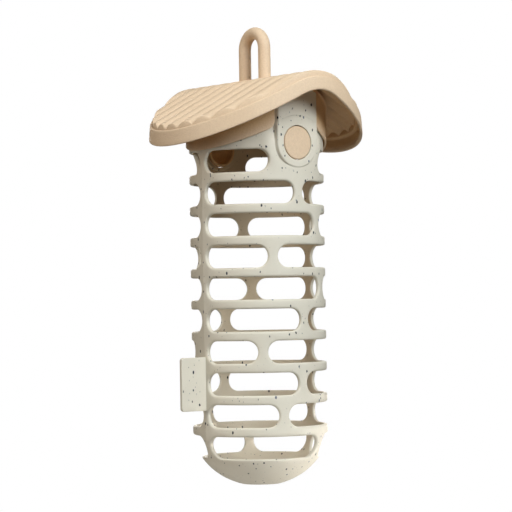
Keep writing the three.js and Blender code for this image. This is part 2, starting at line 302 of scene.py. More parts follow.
# Dim room light on the object, and white paper where the camera looks past it
def setWorld():
    scene.view_settings.view_transform = "Standard"
    world = bpy.data.worlds.new("studio")
    scene.world = world
    world.use_nodes = True
    tree = world.node_tree
    tree.nodes.clear()
    heading = addNode(tree, "ShaderNodeTexCoord").outputs["Generated"]
    slope = addNode(tree, "ShaderNodeSeparateXYZ", [(0, heading)]).outputs["Z"]
    glow = remap(tree, slope, studio["horizon"], (studio["groundLight"], studio["skyLight"]))
    room = addNode(tree, "ShaderNodeBackground", [("Color", white), ("Strength", glow)]).outputs[0]
    paper = addNode(tree, "ShaderNodeBackground", [("Color", white), ("Strength", 1.0)]).outputs[0]
    seen = addNode(tree, "ShaderNodeLightPath").outputs["Is Camera Ray"]
    both = addNode(tree, "ShaderNodeMixShader", [(0, seen), (1, room), (2, paper)])
    addNode(tree, "ShaderNodeOutputWorld", [("Surface", both.outputs[0])])


def hangLamps():
    for name, (bearing, rise, spread, height, far, size, power, tint) in studio["lamps"].items():
        data = bpy.data.lights.new(name, "AREA")
        data.shape = "DISK"
        data.size = size
        data.spread = radians(spread)
        data.energy = power
        data.color = tint
        a, e = radians(bearing), radians(rise)
        towards = Vector((sin(a) * cos(e), -cos(a) * cos(e), sin(e)))
        lamp = newObject(name, data)
        lamp.location = Vector((0, 0, height * mm + footHeight)) + towards * far
        lamp.rotation_euler = towards.to_track_quat("Z", "Y").to_euler()


def layFloor():
    mesh = bpy.data.meshes.new("floor")
    level = footHeight - studio["floorDrop"]
    rim = [(x, y, level) for x, y in circle(studio["floorRadius"], studio["floorSides"])]
    mesh.from_pydata(rim, [], [list(range(len(rim)))])
    mesh.materials.append(paperFloor())
    ground = newObject("floor", mesh)


# Finishes

noiseSpan = (0.3, 0.7)        # where most of a noise texture's values lie


def newFinish(name):
    finish = bpy.data.materials.new(name)
    finish.use_nodes = True
    tree = finish.node_tree
    tree.nodes.clear()
    shader = addNode(tree, "ShaderNodeBsdfPrincipled")
    addNode(tree, "ShaderNodeOutputMaterial", [("Surface", shader.outputs[0])])
    place = addNode(tree, "ShaderNodeTexCoord").outputs["Object"]
    return finish, tree, shader, place


def noise(tree, place, size, detail=2.0):
    links = [("Vector", place), ("Scale", 1 / (size * mm)), ("Detail", detail)]
    return addNode(tree, "ShaderNodeTexNoise", links).outputs


# A Mix node has its two colours after its numbers and vectors
def blendColour(tree, share, first, second):
    links = [(0, share), (6, first), (7, second)]
    return addNode(tree, "ShaderNodeMix", links, data_type="RGBA").outputs[2]


def colourRamp(tree, value, stops):
    made = addNode(tree, "ShaderNodeValToRGB", [("Fac", value)])
    ramp = made.color_ramp
    while len(ramp.elements) < len(stops):
        ramp.elements.new(0.5)
    for element, (place, colour) in zip(ramp.elements, stops):
        element.position = place
        element.color = colour
    return made.outputs[0]


# Two-toned plastic with a moulded grain; its colour is left to be connected
def grainedPlastic(name, look):
    finish, tree, shader, place = newFinish(name)
    mottle = noise(tree, place, look["mottleSize"], detail=4.0)["Fac"]
    base = blendColour(tree, mottle, look["light"], look["deep"])
    grain = noise(tree, place, look["grainSize"], detail=3.0)["Fac"]
    links = [("Height", grain), ("Distance", look["grainDepth"] * mm)]
    links.append(("Strength", look["grainStrength"]))
    bump = addNode(tree, "ShaderNodeBump", links).outputs[0]
    rough = remap(tree, grain, noiseSpan, look["roughness"])
    connect(tree, shader, [("Roughness", rough), ("Normal", bump)])
    return finish, tree, shader, place, base, grain


# Paints shade into a colour: deepens it by the tint, as far as the share of painted shade noted on the
# piece's points
def paintShade(tree, colour, tint):
    share = addNode(tree, "ShaderNodeAttribute", attribute_name="paintedShade").outputs["Fac"]
    links = [(0, colour), (1, blendColour(tree, share, white, tint))]
    return addNode(tree, "ShaderNodeVectorMath", links, operation="MULTIPLY").outputs[0]


speckle = {
    "light": (0.755, 0.695, 0.575, 1),
    "deep": (0.700, 0.638, 0.515, 1),
    "paintedShadeTint": (0.80, 0.70, 0.58, 1),   # painted shade on the cage's inside, darker and warmer towards the roof
    "mottleSize": 16.0,
    "grainSize": 0.5,
    "grainDepth": 0.02,
    "grainStrength": 0.8,
    "roughness": (0.54, 0.68),
    # spacing, largest fleck as a share of it, share of the cells that hold none, and opacity
    "layers": {"dust": (1.6, 0.22, 0.60, 0.5), "flecks": (2.4, 0.31, 0.50, 1.0)},
    "edgeSoftness": 0.22,     # of a fleck, as a share of the largest fleck
    "rippleSize": 0.9,        # noise that bends the flecks' outlines, and how far
    "wander": 0.7,
    "turn": (0.5, 0.3, 0.2),
    "stretch": (1.0, 1.0, 0.6),
    "inks": (
        (0.0, (0.006, 0.007, 0.012, 1)),
        (0.50, (0.012, 0.014, 0.024, 1)),
        (0.75, (0.055, 0.062, 0.085, 1)),
        (1.0, (0.140, 0.155, 0.185, 1)),
    ),
}


# Lays one layer of flecks over a colour; each cell draws its fleck's size and ink
def addFlecks(tree, place, colour, spacing, reach, rarity, opacity):
    cells = addNode(tree, "ShaderNodeTexVoronoi", [("Vector", place), ("Scale", 1 / (spacing * mm))])
    draws = addNode(tree, "ShaderNodeSeparateColor", [("Color", cells.outputs["Color"])]).outputs
    size = remap(tree, draws["Red"], (rarity, 1.0), (0.0, reach))
    depth = maths(tree, "SUBTRACT", size, cells.outputs["Distance"])
    mask = remap(tree, depth, (0.0, reach * speckle["edgeSoftness"]), (0.0, opacity))
    return blendColour(tree, mask, colour, colourRamp(tree, draws["Green"], speckle["inks"]))


def creamSpeckle():
    finish, tree, shader, place, colour, _ = grainedPlastic("creamSpeckle", speckle)
    ripple = noise(tree, place, speckle["rippleSize"])["Color"]
    centred = addNode(tree, "ShaderNodeVectorMath", [(0, ripple), (1, (-0.5, -0.5, -0.5))]).outputs[0]
    links = [(0, centred), (1, (speckle["wander"] * mm,) * 3), (2, place)]
    bent = addNode(tree, "ShaderNodeVectorMath", links, operation="MULTIPLY_ADD").outputs[0]
    links = [("Vector", bent), ("Rotation", speckle["turn"]), ("Scale", speckle["stretch"])]
    stretched = addNode(tree, "ShaderNodeMapping", links).outputs[0]
    for layer in speckle["layers"].values():
        colour = addFlecks(tree, stretched, colour, *layer)
    # painted shade on the inside of the cage
    connect(tree, shader, [("Base Color", paintShade(tree, colour, speckle["paintedShadeTint"]))])
    return finish


sand = {
    "light": (0.815, 0.613, 0.418, 1),
    "deep": (0.748, 0.548, 0.363, 1),
    "grainColour": (0.30, 0.20, 0.12, 1),
    "grainTone": 0.13,
    "paintedShadeTint": (0.88, 0.75, 0.54, 1),   # painted shade: undersides, skirt and latch tongues deepened and warmed where light falls dim
    "mottleSize": 22.0,
    "grainSize": 1.0,
    "grainDepth": 0.22,
    "grainStrength": 0.8,
    "roughness": (0.55, 0.70),
}


def sandPlastic():
    finish, tree, shader, _, base, grain = grainedPlastic("sandPlastic", sand)
    tone = remap(tree, grain, noiseSpan, (0.0, sand["grainTone"]))
    grained = blendColour(tree, tone, base, sand["grainColour"])
    # painted shade deepens the colour where the piece's points are marked for it
    connect(tree, shader, [("Base Color", paintShade(tree, grained, sand["paintedShadeTint"]))])
    return finish


zinc = {
    "dark": (0.50, 0.51, 0.52, 1),
    "light": (0.66, 0.67, 0.68, 1),
    "spangleSize": 0.8,
    "roughness": (0.28, 0.44),
}


def zincSteel():
    finish, tree, shader, place = newFinish("zincSteel")
    spangle = noise(tree, place, zinc["spangleSize"], detail=3.0)["Fac"]
    tones = colourRamp(tree, spangle, list(zip(noiseSpan, (zinc["dark"], zinc["light"]))))
    rough = remap(tree, spangle, noiseSpan, zinc["roughness"])
    connect(tree, shader, [("Metallic", 1.0), ("Base Color", tones), ("Roughness", rough)])
    return finish


floorPaper = {
    "dark": (0.80, 0.80, 0.79, 1),
    "light": (0.84, 0.84, 0.83, 1),
    "cloudSize": 400.0,
    "roughness": 0.85,
}


def paperFloor():
    finish, tree, shader, place = newFinish("paperFloor")
    cloud = noise(tree, place, floorPaper["cloudSize"])["Fac"]
    tones = colourRamp(tree, cloud, list(zip(noiseSpan, (floorPaper["dark"], floorPaper["light"]))))
    seen = addNode(tree, "ShaderNodeLightPath").outputs["Is Camera Ray"]
    connect(tree, shader, [("Base Color", tones), ("Roughness", floorPaper["roughness"])])
    connect(tree, shader, [("Emission Color", white), ("Emission Strength", seen)])
    return finish


# Every surface of the roof and collar is an offset of the curve that the rim's lower edge follows

gableCurve = {"apex": 249.4, "slope": 0.53, "ridgeRadius": 26.5}
slopeAngle = atan(gableCurve["slope"])


def gable(x, offset):
    radius = gableCurve["ridgeRadius"] + offset
    apex = gableCurve["apex"] + offset / cos(slopeAngle)
    if abs(x) >= radius * sin(slopeAngle):
        return apex - gableCurve["slope"] * abs(x)
    return apex - radius / cos(slopeAngle) + sqrt(radius ** 2 - x ** 2)


# Cage: the wall is laid out flat as distance round from the front, towards +X, and height

cage = {
    "radius": 43.0,
    "wall": 2.5,
    "domeHeight": 34.8,
    "flatRadius": 12.4,
    "rimApex": 235.7,
    "rimSlope": 0.45,
    "slotHeight": 14.1,
    "rowPitch": 19.9,
    "lowestSlotTop": 31.8,
    "postWidth": 6.4,
    "seamPostWidth": 6.0,
    "postAngles": (0.7, 24, -24, 31, 5.5, -33.6, 3, -16, 26),   # rows 2 to 10, from the top
    "topSlotStart": 27.0,
    "finRow": 7,
    "finRowBackStart": 108.0,
    "outerFillet": 1.3,
    "innerFillet": 0.6,
    "seamRidge": 0.12,
    "seamHalfWidth": 0.4,
    "insidePaintedShade": (0.35, 1.0),   # share of the painted shade's tint on the inside, below and above the next two heights
    "paintedShadeHeights": (30.0, 140.0),
    "layoutFoot": 14.4,     # height where the layout ends and plain rings close the dome
    "chordSlack": 0.05,     # about what the layout's chords cut off its round outlines
    "gridStep": 3.0,
    "gridShift": (0.25, 0.7),       # of the first grid point, in steps
    "gridMargin": 0.6,      # from the grid to the openings, and to any other point
    "gridClearance": 1.2,
    "slotStep": 2.2,
    "endSteps": 14,
    "filletSteps": 4,
    "rimSteps": 16,
    "turnSteps": 96,
    "seamSteps": 168,
    "domeSteps": 10,
}
ear = {
    "width": 32.4,
    "depth": 15.5,          # from the button's middle down to the ear's lowest point
    "face": 43.9,
    "topOffset": 4.3,
    "swell": 2.2,           # beside the ear the wall swells until its step is no higher than this
    "swellWidth": 10.0,
    "swellTop": 9.0,        # above the button's middle
    "foot": 0.5,            # width of the soft foot outside the ear's outline
    "shoulder": 1.7,        # width of the round shoulder inside it, above the recess
    "recessShoulder": 1.0,
    "rings": (0.5, 0.3, 0.15, 0.0, -0.15, -0.3, -0.5, -0.8, -1.2, -1.7),
    "recess": 0.45,         # depth of the finger recess round the button, under an arc
    "recessRise": 17.2,     # top of the arc above the button's middle
    "recessRadius": 25.0,
    "recessStep": 0.8,      # width of the slope along the arc
    "recessMargin": 2.2,    # from the ear's sides to the points along the arc
    "recessColumns": 22,
    "recessRows": 4,
    "holeRadius": 10.8,
    "holeFillet": 0.5,
    "holeSides": 48,
    "ringRadius": 12.8,     # raised ring on the inside, under the hole
    "ringProud": 1.1,
    "ringSlope": 0.6,
    "ringFade": 5.0,
    "innerBlend": 2.0,      # beside the ear, where the inner points turn back to the outer points' rays
    "topMargin": 2.5,
    "topSteps": 7,
    "sideSteps": 12,
    "bowSteps": 30,
}
fin = {
    "reach": 18.5,
    "thickness": 2.4,
    "bottom": 48.0,
    "height": 33.5,
    "corner": 2.0,
    "edge": 0.5,
    "rootFillet": 0.4,
    "clearance": 1.0,       # from the fin to the points along the seam
    "tipThinning": 0.9,     # share of its full rounding that the tip gets
    "edgeSteps": 3,
    "heightSteps": 10,
    "reachSteps": 6,
    "tipSteps": 8,
}
cageRadius = cage["radius"]
seamAt = cageRadius * pi / 2
cutAt = -3 * seamAt                 # the layout is cut open along the +X seam
earMiddles = (-2 * seamAt, 0.0)     # back ear, front ear
earHalf = ear["width"] / 2
earZone = buttonHeight - ear["width"]       # the ears change nothing below this height
slotHalf = cage["slotHeight"] / 2


def across(x):
    return cageRadius * asin(x / cageRadius)


def rimHeight(x):
    return cage["rimApex"] - cage["rimSlope"] * abs(x)


def earTop(x):
    return gable(x, ear["topOffset"])


def domeArc(inset):
    start = acos(cage["flatRadius"] / (cageRadius - inset))
    return start, (cage["domeHeight"] - inset) / sin(start)


def wallRadius(z, inset):
    if z >= cage["domeHeight"]:
        return cageRadius - inset
    depth = (cage["domeHeight"] - z) / domeArc(inset)[1]
    return (cageRadius - inset) * sqrt(1 - depth ** 2)


# Painted shade on the cage's inside, deeper towards the roof
def insidePaintedShade(z):
    low, high = cage["paintedShadeHeights"]
    return mix(*cage["insidePaintedShade"], ease((z - low) / (high - low)))


def earDistance(x, z):
    drop = min(z - buttonHeight, 0.0) * earHalf / ear["depth"]
    return hypot(x, drop) - earHalf


def recessTop(x):
    return buttonHeight + ear["recessRise"] - x ** 2 / (2 * ear["recessRadius"])


def recessShare(x, z):
    return ease((recessTop(x) - z) / ear["recessStep"] + 0.5)


def earShare(x, z):
    shoulder = mix(ear["shoulder"], ear["recessShoulder"], recessShare(x, z))
    return ease(ease((ear["foot"] - earDistance(x, z)) / (ear["foot"] + shoulder)))


def ringShare(x, z):
    past = hypot(x, z - buttonHeight) - ear["ringRadius"]
    return ease(0.5 - past / ear["ringSlope"]) * ease((buttonHeight - z) / ear["ringFade"] + 1)


def outerPoint(u, z):
    fromSeam = abs(u + seamAt)
    fromSeam = min(fromSeam, 2 * seamAt - fromSeam)
    radius = wallRadius(z, 0.0) + cage["seamRidge"] * clamp(1 - fromSeam / cage["seamHalfWidth"])
    x, y = radius * sin(u / cageRadius), -radius * cos(u / cageRadius)
    past = earDistance(x, z)
    if z > earZone and past < ear["swellWidth"]:
        face = ear["face"] - ear["recess"] * recessShare(x, z)
        fade = ease(1 - past / ear["swellWidth"])
        fade *= ease((buttonHeight + ear["swellTop"] - z) / ear["swellWidth"])
        swollen = abs(y) + max(face - abs(y) - ear["swell"], 0.0) * fade
        out = mix(swollen, face, earShare(x, z))
        y = out if y > 0 else -out
    return x, y, z


def innerPoint(u, z):
    straight = cageRadius * sin(u / cageRadius)
    radius = wallRadius(z, cage["wall"]) - ear["ringProud"] * ringShare(straight, z)
    turned = radius * sin(u / cageRadius)
    keep = clamp(1 - earDistance(straight, z) / ear["innerBlend"]) if z > earZone else 0.0
    x = mix(turned, straight, keep)
    y = sqrt(radius ** 2 - x ** 2)
    return x, -y if cos(u / cageRadius) > 0 else y, z


# Point inside the wall, a depth in from the outer face or, when negative, out from the inner face
def wallPoint(u, z, depth):
    outer, inner = Vector(outerPoint(u, z)), Vector(innerPoint(u, z))
    share = depth / (inner - outer).length
    return tuple(outer.lerp(inner, share if depth >= 0 else 1 + share))


# Slots from the top row down, each as the middles of its round ends and its height
def cageSlots():
    seam = 90 - degrees(cage["seamPostWidth"] / 2 / cageRadius)
    half = degrees(cage["postWidth"] / 2 / cageRadius)
    slots = []
    rows = len(cage["postAngles"]) + 1
    for row in range(1, rows + 1):
        top = cage["lowestSlotTop"] + (rows - row) * cage["rowPitch"]
        post = cage["postAngles"][row - 2] if row > 1 else 0.0
        gap = half if row > 1 else cage["topSlotStart"]
        left, right = (-seam, post - gap), (post + gap, seam)
        backEnd = -cage["finRowBackStart"] if row == cage["finRow"] else seam - 180
        spans = (left, right, (-180 - left[1], backEnd), (-180 - right[1], -180 - right[0]))
        for start, end in spans:
            ends = [cageRadius * radians(angle) for angle in (start, end)]
            slots.append((ends[0] + slotHalf, ends[1] - slotHalf, top - slotHalf))
    return slots


# Outline of a slot in the layout, spread outwards; every ring of a slot has the same count of points
def slotRing(slot, spread):
    left, right, middle = slot
    reach = slotHalf + spread
    steps = max(1, round((right - left) / cage["slotStep"]))
    ring = []
    for centre, turn, far in ((right, -pi / 2, left), (left, pi / 2, right)):
        for t in between(turn, turn + pi, cage["endSteps"]):
            ring.append((centre + reach * cos(t), middle + reach * sin(t)))
        edge = middle + reach * sin(turn + pi)
        ring.extend((u, edge) for u in between(centre, far, steps)[1:-1])
    return ring


def ringAround(middle, radius):
    return [(middle + across(x), buttonHeight + z) for x, z in circle(radius, ear["holeSides"])]


def holeRing(middle, spread):
    return ringAround(middle, ear["holeRadius"] + spread)


# Top edge of the layout over half an ear and on to the seam: distance from the ear's middle, and height
def topEdge():
    xs = between(0, earHalf - ear["topMargin"], ear["topSteps"])
    xs += [earHalf + spread for spread in reversed(ear["rings"]) if spread <= 0]
    edge = [(across(x), earTop(x)) for x in xs]
    side = between(earTop(earHalf), rimHeight(earHalf), ear["topSteps"])
    edge += [(across(earHalf), z) for z in side[1:]]
    xs = [earHalf + spread for spread in reversed(ear["rings"]) if spread > 0]
    edge += [(across(x), rimHeight(x)) for x in xs]
    for u in between(edge[-1][0], seamAt, cage["rimSteps"])[1:]:
        edge.append((u, rimHeight(cageRadius * sin(u / cageRadius))))
    return edge


def earLine(middle, spread):
    half = earHalf + spread
    top = rimHeight(half) if spread >= 0 else earTop(half)
    side = [(half, z) for z in between(top, buttonHeight, ear["sideSteps"])[:-1]]
    deep = half * ear["depth"] / earHalf
    bow = [(half * cos(t), buttonHeight - deep * sin(t)) for t in between(0, pi, ear["bowSteps"])]
    line = side + bow + [(-x, z) for x, z in reversed(side)]
    return [(middle + across(x), z) for x, z in line]


# Rounded outline across the fin, as y and height: grown at the root, drawn in at the tip
def finRing(grow, cornerInset, thin):
    half = fin["thickness"] / 2 + grow - thin
    low = fin["bottom"] - grow + cornerInset
    high = fin["bottom"] + fin["height"] + grow - cornerInset
    edge = fin["edge"]
    ring = []
    corners = ((half, high, 0), (-half, high, 1), (-half, low, 2), (half, low, 3))
    for y, z, quarter in corners:
        y -= edge if y > 0 else -edge
        z -= edge if z == high else -edge
        for t in between(quarter * pi / 2, (quarter + 1) * pi / 2, fin["edgeSteps"]):
            ring.append((y + edge * cos(t), z + edge * sin(t)))
        if quarter in (1, 3):
            ahead = low + edge if quarter == 1 else high - edge
            ring.extend((ring[-1][0], h) for h in between(z, ahead, fin["heightSteps"])[1:-1])
    return ring


def inFin(u, z):
    root = fin["rootFillet"]
    beside = abs(u + seamAt) >= fin["thickness"] / 2 + root
    return not beside and fin["bottom"] - root < z < fin["bottom"] + fin["height"] + root


# Whether a place in the layout is in an opening or over the top edge, or within a margin of them
def isOpen(u, z, slots, margin):
    x = cageRadius * sin(u / cageRadius)
    if z > (earTop(x) if abs(x) < earHalf else rimHeight(x)) - margin:
        return True
    if hypot(x, z - buttonHeight) < ear["holeRadius"] + ear["holeFillet"] + margin:
        return True
    reach = slotHalf + cage["outerFillet"] + margin
    near = [slot for slot in slots if abs(z - slot[2]) < reach]
    return any(hypot(max(left - u, u - right, 0.0), z - middle) < reach for left, right, middle in near)


# Layout of the wall: its points, its triangles, and the rows of points along its outlines
def layOutCage(slots):
    sheet = Sheet()
    edge = topEdge()
    top = []
    for middle in earMiddles:
        top += [(middle - u, z) for u, z in reversed(edge)][1 if top else 0:]
        top += [(middle + u, z) for u, z in edge[1:]]
    foot = cage["layoutFoot"]
    bottom = [(u, foot) for u in between(cutAt, seamAt, cage["turnSteps"])]
    rise = between(foot, edge[-1][1], cage["seamSteps"])[1:-1]
    up, down = [(seamAt, z) for z in rise], [(cutAt, z) for z in reversed(rise)]
    rim = sheet.line(bottom + up + top[::-1] + down, closed=True)
    topStart = len(bottom) + len(rise)
    rows = {"bottom": [rim[:len(bottom)]], "top": [rim[topStart:topStart + len(top)]], "holes": []}
    rows["slots"] = [sheet.line(slotRing(slot, cage["outerFillet"]), closed=True) for slot in slots]

    reach = earHalf - ear["recessMargin"]
    for middle in earMiddles:
        for spread in ear["rings"]:
            sheet.line(earLine(middle, spread))
        rows["holes"].append(sheet.line(holeRing(middle, ear["holeFillet"]), closed=True))
        for past in between(-0.5, 0.5, 2):
            sheet.points.extend(ringAround(middle, ear["ringRadius"] + past * ear["ringSlope"]))
        for x in between(-reach, reach, ear["recessColumns"]):
            steps = between(-0.5, 0.5, ear["recessRows"])
            sheet.points.extend((middle + across(x), recessTop(x) + t * ear["recessStep"]) for t in steps)
    root = [(-seamAt - across(y), z) for y, z in finRing(fin["rootFillet"], 0, 0)]
    rows["fin"] = [sheet.line(root, closed=True)]
    width, clearance = cage["seamHalfWidth"], fin["clearance"]
    for z in rise:
        sheet.points.extend([(cutAt + width, z), (seamAt - width, z)])
        if not fin["bottom"] - clearance < z < fin["bottom"] + fin["height"] + clearance:
            sheet.points.extend((-seamAt + step, z) for step in (-width, 0.0, width))

    step, (aside, above) = cage["gridStep"], cage["gridShift"]
    grid = []
    for row in range(int((earTop(0) - foot) / step)):
        shift = aside + row % 2 / 2
        z = foot + (row + above) * step
        grid.extend((cutAt + (i + shift) * step, z) for i in range(int(4 * seamAt / step)))
    free = [p for p in grid if not isOpen(*p, slots, cage["gridMargin"]) and not inFin(*p)]
    sheet.fill(free, cage["gridClearance"])
    flat, triangles, home = sheet.triangulate()
    rows = {label: [[home[i] for i in row] for row in group] for label, group in rows.items()}
    return flat, triangles, rows


def addFin(mould, base):
    root, edge, corner, reach = fin["rootFillet"], fin["edge"], fin["corner"], fin["reach"]
    stations = []                             # distance out, growth, inset of the corners, thinning
    stations += [(out, grown, 0, 0) for grown, out in rounding(root, cage["filletSteps"])[1:]]
    stations += [(out, 0, 0, 0) for out in between(root, reach - corner, fin["reachSteps"])[1:]]
    for short, inset in rounding(corner, fin["tipSteps"])[1:]:
        nose = edge - sqrt(edge ** 2 - max(edge - short, 0) ** 2)
        stations.append((reach - short, 0, inset, nose * fin["tipThinning"]))
    rings = [base]
    for out, grown, inset, thin in stations:
        rings.append(mould.add([(-cageRadius - out, y, z) for y, z in finRing(grown, inset, thin)]))
    mould.skin(rings)
    mould.fan(rings[-1], (-cageRadius - reach, 0, fin["bottom"] + fin["height"] / 2))


def makeCage(finish):
    slots = cageSlots()
    flat, triangles, rows = layOutCage(slots)
    fillets = cage["outerFillet"], cage["innerFillet"]
    openings = [(row, slotRing, slot, *fillets) for row, slot in zip(rows["slots"], slots)]
    for row, middle in zip(rows["holes"], earMiddles):
        openings.append((row, holeRing, middle, ear["holeFillet"], 0.0))

    # the inner face shares the layout, but its openings are narrower by their smaller fillets
    inside = list(flat)
    for row, ringOf, spot, _, innerFillet in openings:
        for index, point in zip(row, ringOf(spot, innerFillet)):
            inside[index] = point
    mould = Mould()
    outer = mould.add([outerPoint(*point) for point in flat])
    inner = mould.add([innerPoint(*point) for point in inside])
    # the inner face gets painted shade, deeper towards the roof
    for index, (_, z) in zip(inner, inside):
        mould.notes["paintedShade"][index] = insidePaintedShade(z)
    for a, b, c in triangles:
        spot = centroid(flat, (a, b, c))
        if isOpen(*spot, slots, -cage["chordSlack"]):
            continue
        mould.faces.append((inner[a], inner[c], inner[b]))
        if not inFin(*spot):
            mould.faces.append((outer[a], outer[b], outer[c]))
    for row in rows["top"]:
        mould.strip([outer[i] for i in row], [inner[i] for i in row], closed=False)

    for row, ringOf, spot, outerFillet, innerFillet in openings:
        steps = rounding(outerFillet, cage["filletSteps"])[1:]
        if innerFillet:
            back = rounding(innerFillet, cage["filletSteps"])[:0:-2]
            steps += [(spread, -depth) for spread, depth in back]
        rings = [[outer[i] for i in row]]
        for spread, depth in steps:
            rings.append(mould.add([wallPoint(u, z, depth) for u, z in ringOf(spot, spread)]))
        mould.skin(rings + [[inner[i] for i in row]])

    addFin(mould, [outer[i] for i in rows["fin"][0]])
    dome, turns = cage["domeHeight"], [u / cageRadius for u in between(cutAt, seamAt, cage["turnSteps"])]
    # the inner dome gets the painted shade of the wall's foot
    for skin, inset, paintedShade in ((outer, 0.0, 0.0), (inner, cage["wall"], insidePaintedShade(0.0))):
        mould.paintedShade = paintedShade
        start, depth = domeArc(inset)
        first = asin((dome - cage["layoutFoot"]) / depth)
        rings = [[skin[i] for i in rows["bottom"][0]]]
        for t in between(first, start, cage["domeSteps"])[1:]:
            radius, z = (cageRadius - inset) * cos(t), dome - depth * sin(t)
            rings.append(mould.add([(radius * sin(a), -radius * cos(a), z) for a in turns]))
        mould.skin(rings, closed=False)
        mould.fan(rings[-1], (0, 0, inset))
    dress(mould.piece("slottedCage", sharpAngle=60), finish, "cage_plastic", "cage", "cage_body")


# Roof: a plain gabled shell first, whose ribs a node tree then raises

roof = {
    "radius": 68.4,
    "rimDepth": 8.5,
    "rimWall": 2.0,
    "rimDraft": 0.6,          # how much narrower the rim is at its top
    "lipInside": (66.5, 66.75),
    "lipRound": 0.7,
    "edgeRound": 0.9,
    "ledgeRound": 0.5,
    "gutter": 1.1,            # depth of the gutter between the ribs' ends and the lip
    "ribPitch": 12.6,
    "ribsEachSide": 6,
    "ribHeight": 2.4,
    "ribPower": 2.4,          # roundness of the ribs
    "ribPhases": (0, 0.1, 0.2, 0.3, 0.38, 0.44, 0.48, 0.5),
    "ribEnd": (65.5, 66.2),   # radii where the ribs' rounded ends start and stop
    "ribEndPower": 3.2,
    "ribEndSteps": 9,
    "valleySoftness": 0.3,
    "ridgeRise": 1.5,         # valleys between the ribs above the rim, at the ridge and at the eaves
    "eaveRise": 0.5,
    "thickness": 1.8,
    "hollowRadius": 64.0,
    "sheetRadius": 63.0,
    "sheetMargin": 0.7,       # from the sheet's edge to its points, and between points
    "sheetClearance": 0.2,
    "columns": ((0, 20, 10), (23, 62, 13)),   # points down each slope: from, to and steps
    "lastRow": 59.0,          # rib rows run straight out to the eaves up to this distance from the middle
    "gableSteps": 28,
    "rimSteps": 4,
    "lipSteps": 5,
    "edgeSteps": 4,
    "ledgeSteps": 3,
}
loop = {                      # here because the roof's bosses and holes take their sizes from it
    "bar": 7.9,
    "legSpacing": 20.6,
    "rise": 33.5,             # top of the loop above the ribs' crests
    "spigot": 5.4,
    "spigotGap": 0.3,
    "seatDepth": 3.6,
    "seatStep": 0.02,         # height over which the spigot widens to the bar
    "gap": 0.2,
    "bossWall": 3.0,
    "bossDrop": 0.02,
    "sides": 36,
    "archSteps": 36,
    "legStart": 0.5,
    "legSteps": 6,
}
shellTop = roof["rimDepth"] + roof["ridgeRise"]
shellUnder = shellTop - roof["thickness"]
crestTop = gable(0, shellTop + roof["ribHeight"])
seatHeight = crestTop - loop["seatDepth"]
legY = loop["legSpacing"] / 2
legs = (-legY, legY)


def ribRows(reach):
    rows = {-reach, reach}
    for k in range(-roof["ribsEachSide"], roof["ribsEachSide"] + 1):
        for phase in roof["ribPhases"]:
            rows.update(round((k + side * phase) * roof["ribPitch"], 3) for side in (-1, 1))
    return sorted(y for y in rows if abs(y) <= reach)


# Loop round the roof at one radius, whose points keep to the rib rows except over the gables
def eaveLoop(radius):
    rows = ribRows(roof["lastRow"])
    turn = asin(rows[-1] / radius)
    ring = [(sqrt(radius ** 2 - y ** 2), y) for y in rows]
    turns = between(turn, pi - turn, roof["gableSteps"])
    ring += [(radius * cos(t), radius * sin(t)) for t in turns[1:-1]]
    return ring + [(-x, -y) for x, y in ring]


def ribLift(x):
    return (gable(x, shellTop + roof["ribHeight"]) - gable(x, shellTop)) / roof["ribHeight"]


# Adds points at an offset of the gable curve, with a share of the valleys' rise and of the ribs' later lift
def addGabled(mould, flat, offset, share=0.0):
    points = []
    for x, y in flat:
        valley = mix(roof["ridgeRise"], roof["eaveRise"], abs(x) / roof["radius"])
        points.append((x, y, gable(x, offset + valley * share)))
    return mould.add(points, [ribLift(x) * share for x, _ in flat])


# Gabled sheet inside a boundary, with a ring left open round each leg of the hanging loop
def gabledSheet(mould, boundary, spots, clearance, holeRadius, sides, offset, share=0.0):
    sheet = Sheet()
    edge = sheet.line(boundary, closed=True)
    holes = [sheet.line(circle(holeRadius, sides, 0, y), closed=True) for y in legs]
    sheet.fill([(x, y) for x, y in spots if hypot(x, abs(y) - legY) > holeRadius], clearance)
    flat, triangles, home = sheet.triangulate()
    indices = addGabled(mould, flat, offset, share)
    for triangle in triangles:
        x, y = centroid(flat, triangle)
        if hypot(x, abs(y) - legY) > holeRadius:
            mould.faces.append([indices[i] for i in triangle])
    return [indices[home[i]] for i in edge], [[indices[home[i]] for i in hole] for hole in holes]


def roofSheet(mould, radius, offset, holeRadius):
    reach = radius - roof["sheetMargin"]
    columns = sorted({side * x for span in roof["columns"] for x in between(*span) for side in (-1, 1)})
    spots = [(x, y) for y in ribRows(reach) for x in columns if hypot(x, y) < reach]
    hole = holeRadius, loop["sides"]
    return gabledSheet(mould, eaveLoop(radius), spots, roof["sheetClearance"], *hole, offset, share=1.0)


# Quarter circle in a section of the rim, as radius and offset, counted in quarter turns from upright
def quarterArc(radius, offset, size, start, end, steps):
    turns = between(start * pi / 2, end * pi / 2, steps)
    return [(radius + size * sin(t), offset + size * cos(t)) for t in turns]


